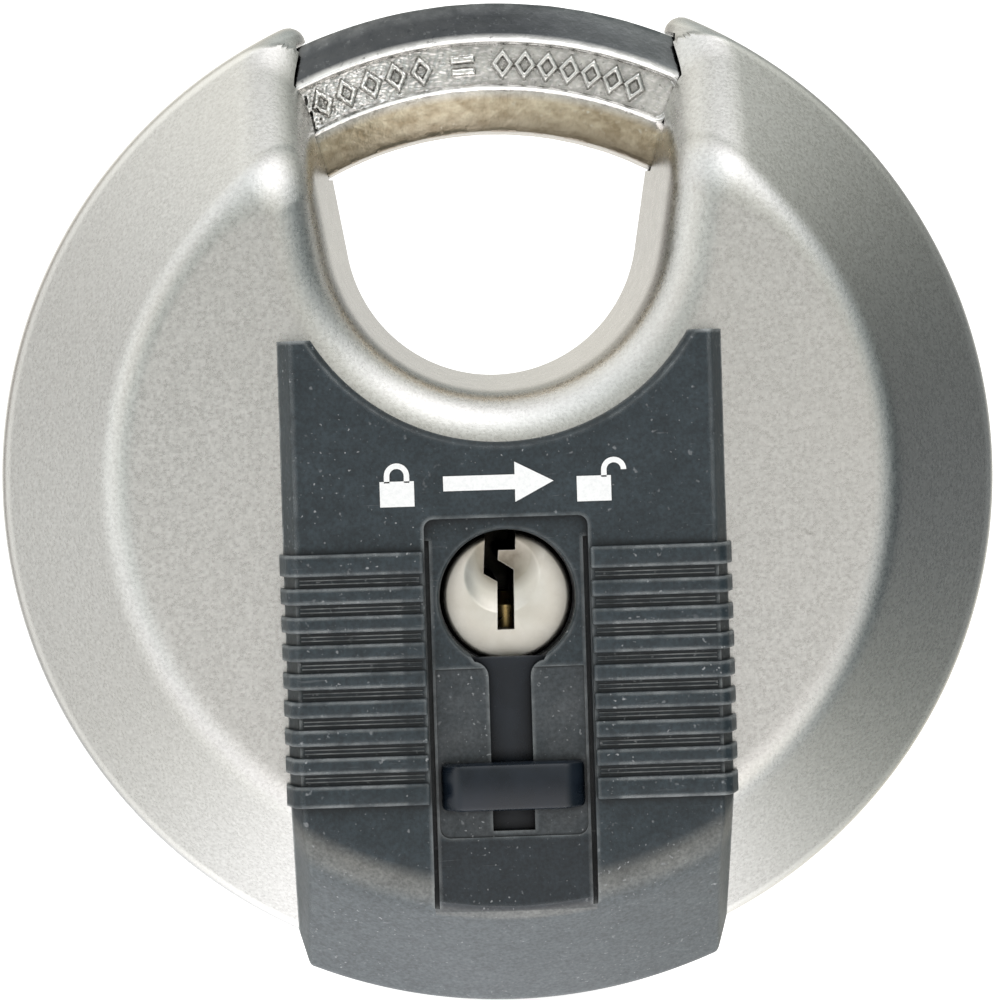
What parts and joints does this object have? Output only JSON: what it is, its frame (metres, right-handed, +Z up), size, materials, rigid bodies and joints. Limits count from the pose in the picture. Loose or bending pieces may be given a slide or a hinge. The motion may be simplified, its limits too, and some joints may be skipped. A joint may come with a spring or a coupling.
{
  "type": "disc padlock",
  "caption": "Round shrouded padlock: two domed satin steel shells, a curved shackle swinging inside them, a ribbed plastic cover with a sliding keyhole shutter, and a pin tumbler cylinder.",
  "frame": {"origin": "on the disc's axis, in the middle plane where the two shells meet", "axes": "+Z up through the shackle opening, -Y out of the keyed front face, +X to the right seen from the front"},
  "size_m": [0.07, 0.0309, 0.0702],
  "materials": {
    "satin_stainless": "bead-blasted satin stainless",
    "plated_steel": "nickel-chrome plated casting, lightly textured",
    "cover_plastic": "satin weatherproof thermoplastic",
    "shutter_plastic": "semi-gloss plastic",
    "plug_nickel": "satin nickel plated brass",
    "brass": "turned",
    "zinc_steel": "zinc plated",
    "hardened_steel": "dark hardened",
    "spring_steel": "drawn wire",
    "core_zinc": "die-cast zinc alloy"
  },
  "bodies": {
    "case": {"front_shell": "satin_stainless", "rear_shell": "satin_stainless", "front_cover": "cover_plastic", "rear_cover": "cover_plastic", "front_cover_studs": "zinc_steel", "rear_cover_studs": "zinc_steel", "cylinder_housing": "brass", "chamber_plugs": "brass", "core_block": "core_zinc", "front_guard_plate": "hardened_steel", "rear_guard_plate": "hardened_steel", "front_plate_screws": "zinc_steel", "rear_plate_screws": "zinc_steel", "left_shackle_guide": "core_zinc", "right_shackle_guide": "core_zinc", "pin_spring_1": "spring_steel", "pin_spring_2": "spring_steel", "pin_spring_3": "spring_steel", "pin_spring_4": "spring_steel"},
    "shutter": {"shutter_plate": "shutter_plastic", "shutter_grip": "shutter_plastic"},
    "plug": {"plug": "plug_nickel", "thrust_washer": "zinc_steel", "drive_cam": "zinc_steel", "crank_pin": "hardened_steel", "cam_screw": "zinc_steel"},
    "shackle": {"shackle": "plated_steel", "shackle_arm": "hardened_steel", "shackle_rivets": "zinc_steel"},
    "key_pin_1": {"key_pin_1": "brass"},
    "driver_pin_1": {"driver_pin_1": "zinc_steel"},
    "key_pin_2": {"key_pin_2": "brass"},
    "driver_pin_2": {"driver_pin_2": "zinc_steel"},
    "key_pin_3": {"key_pin_3": "brass"},
    "driver_pin_3": {"driver_pin_3": "zinc_steel"},
    "key_pin_4": {"key_pin_4": "brass"},
    "driver_pin_4": {"driver_pin_4": "zinc_steel"}
  },
  "joints": [
    {"name": "shutter_slide", "type": "slide", "parent": "case", "child": "shutter", "axis": [0, 0, 1], "range_m": [0, 0.009]},
    {"name": "plug_turn", "type": "hinge", "parent": "case", "child": "plug", "pos_m": [0, 0, -0.0079], "axis": [0, 1, 0], "range_deg": [0, 180]},
    {"name": "shackle_turn", "type": "hinge", "parent": "case", "child": "shackle", "pos_m": [0, 0, 0], "axis": [0, 1, 0], "range_deg": [0, 75.82]},
    {"name": "key_pin_1_slide", "type": "slide", "parent": "plug", "child": "key_pin_1", "axis": [0, 0, 1], "range_m": [0, 0.00035]},
    {"name": "key_pin_2_slide", "type": "slide", "parent": "plug", "child": "key_pin_2", "axis": [0, 0, 1], "range_m": [0, 0.00115]},
    {"name": "key_pin_3_slide", "type": "slide", "parent": "plug", "child": "key_pin_3", "axis": [0, 0, 1], "range_m": [0, 0.00175]},
    {"name": "key_pin_4_slide", "type": "slide", "parent": "plug", "child": "key_pin_4", "axis": [0, 0, 1], "range_m": [0, 0.00075]},
    {"name": "driver_pin_1_slide", "type": "slide", "parent": "case", "child": "driver_pin_1", "axis": [0, 0, 1], "range_m": [-0.0015, 0], "deforming": ["pin_spring_1"]},
    {"name": "driver_pin_2_slide", "type": "slide", "parent": "case", "child": "driver_pin_2", "axis": [0, 0, 1], "range_m": [-0.0015, 0], "deforming": ["pin_spring_2"]},
    {"name": "driver_pin_3_slide", "type": "slide", "parent": "case", "child": "driver_pin_3", "axis": [0, 0, 1], "range_m": [-0.0015, 0], "deforming": ["pin_spring_3"]},
    {"name": "driver_pin_4_slide", "type": "slide", "parent": "case", "child": "driver_pin_4", "axis": [0, 0, 1], "range_m": [-0.0015, 0], "deforming": ["pin_spring_4"]}
  ],
  "couplings": [
    {"joint": "shackle_turn", "follows": "plug_turn", "ratio": 0.42111}
  ]
}
